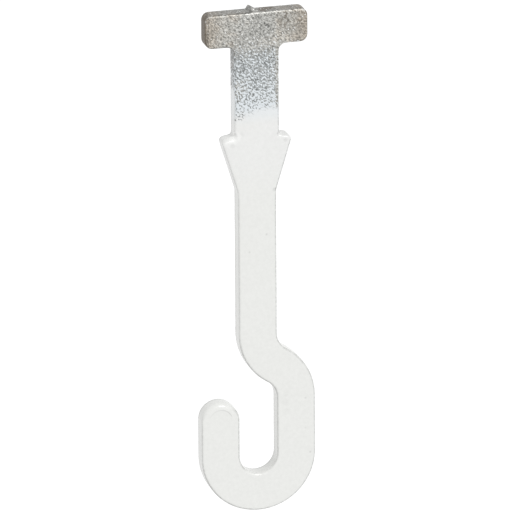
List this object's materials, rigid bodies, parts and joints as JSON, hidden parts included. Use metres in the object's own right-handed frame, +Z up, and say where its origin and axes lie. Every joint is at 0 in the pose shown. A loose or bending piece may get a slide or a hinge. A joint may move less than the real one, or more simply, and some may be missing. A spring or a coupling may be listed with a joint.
{
  "type": "lamp ceiling hook",
  "caption": "Flat sheared steel hook with a T-shaped head for the slot of a ceiling box, barbed shoulders, an offset shank and a round bowl for a lamp's ring",
  "frame": {"origin": "middle of the head's underside, midway through the thickness, on the line that the load hangs on", "axes": "+Z up along the shank, +X across the flat faces towards the leg of the hook, +Y through the thickness towards the back face"},
  "size_m": [0.0204, 0.003, 0.0912],
  "materials": {
    "painted_steel": "smooth white paint with a soft gloss, thinning out over the neck to bare zinc-grey steel on the head"
  },
  "bodies": {
    "root": {"lamp_hook": "painted_steel"}
  },
  "joints": []
}
